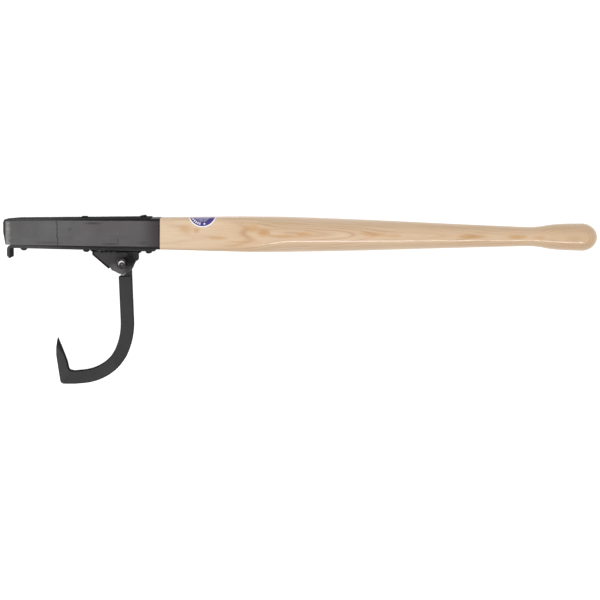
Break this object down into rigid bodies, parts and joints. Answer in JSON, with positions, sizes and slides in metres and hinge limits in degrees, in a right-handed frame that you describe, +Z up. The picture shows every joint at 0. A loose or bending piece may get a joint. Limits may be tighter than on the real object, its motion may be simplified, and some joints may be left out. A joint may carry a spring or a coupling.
{
  "type": "cant hook",
  "caption": "Wood-handled log-turning tool: squared head with riveted steel straps and a toe lip, and a curved pointed hook swinging on a pivot bolt.",
  "frame": {"origin": "centre of the bounding box in X and Y, at its bottom in Z: the tool lies flat on its side, as it does on the ground", "axes": "+X along the handle from the toe to the end knob, +Y across the tool from the hook to the top strap, +Z up, parallel to the hook's pivot"},
  "size_m": [0.9144, 0.2636, 0.0551],
  "materials": {
    "wood": "clear gloss over pale ash, the head painted black",
    "black_steel": "satin black paint",
    "fastener_steel": "oiled dark steel, mostly painted over",
    "nylon": "dull dark plastic"
  },
  "bodies": {
    "tool": {"handle": "wood", "top_strap": "black_steel", "toe_strap": "black_steel", "rivet_front": "black_steel", "rivet_middle": "black_steel", "rivet_rear": "black_steel", "hook_bracket": "black_steel", "stop_plate": "black_steel", "weld_front": "black_steel", "weld_near": "black_steel", "weld_far": "black_steel", "weld_rear": "black_steel", "pivot_bolt": "fastener_steel", "lock_nut": "fastener_steel", "nylon_insert": "nylon"},
    "hook": {"hook": "black_steel"}
  },
  "joints": [
    {"name": "hook_swing", "type": "hinge", "parent": "tool", "child": "hook", "pos_m": [-0.2749, 0.05776, 0.02755], "axis": [0, 0, 1], "range_deg": [-50, 53]}
  ]
}
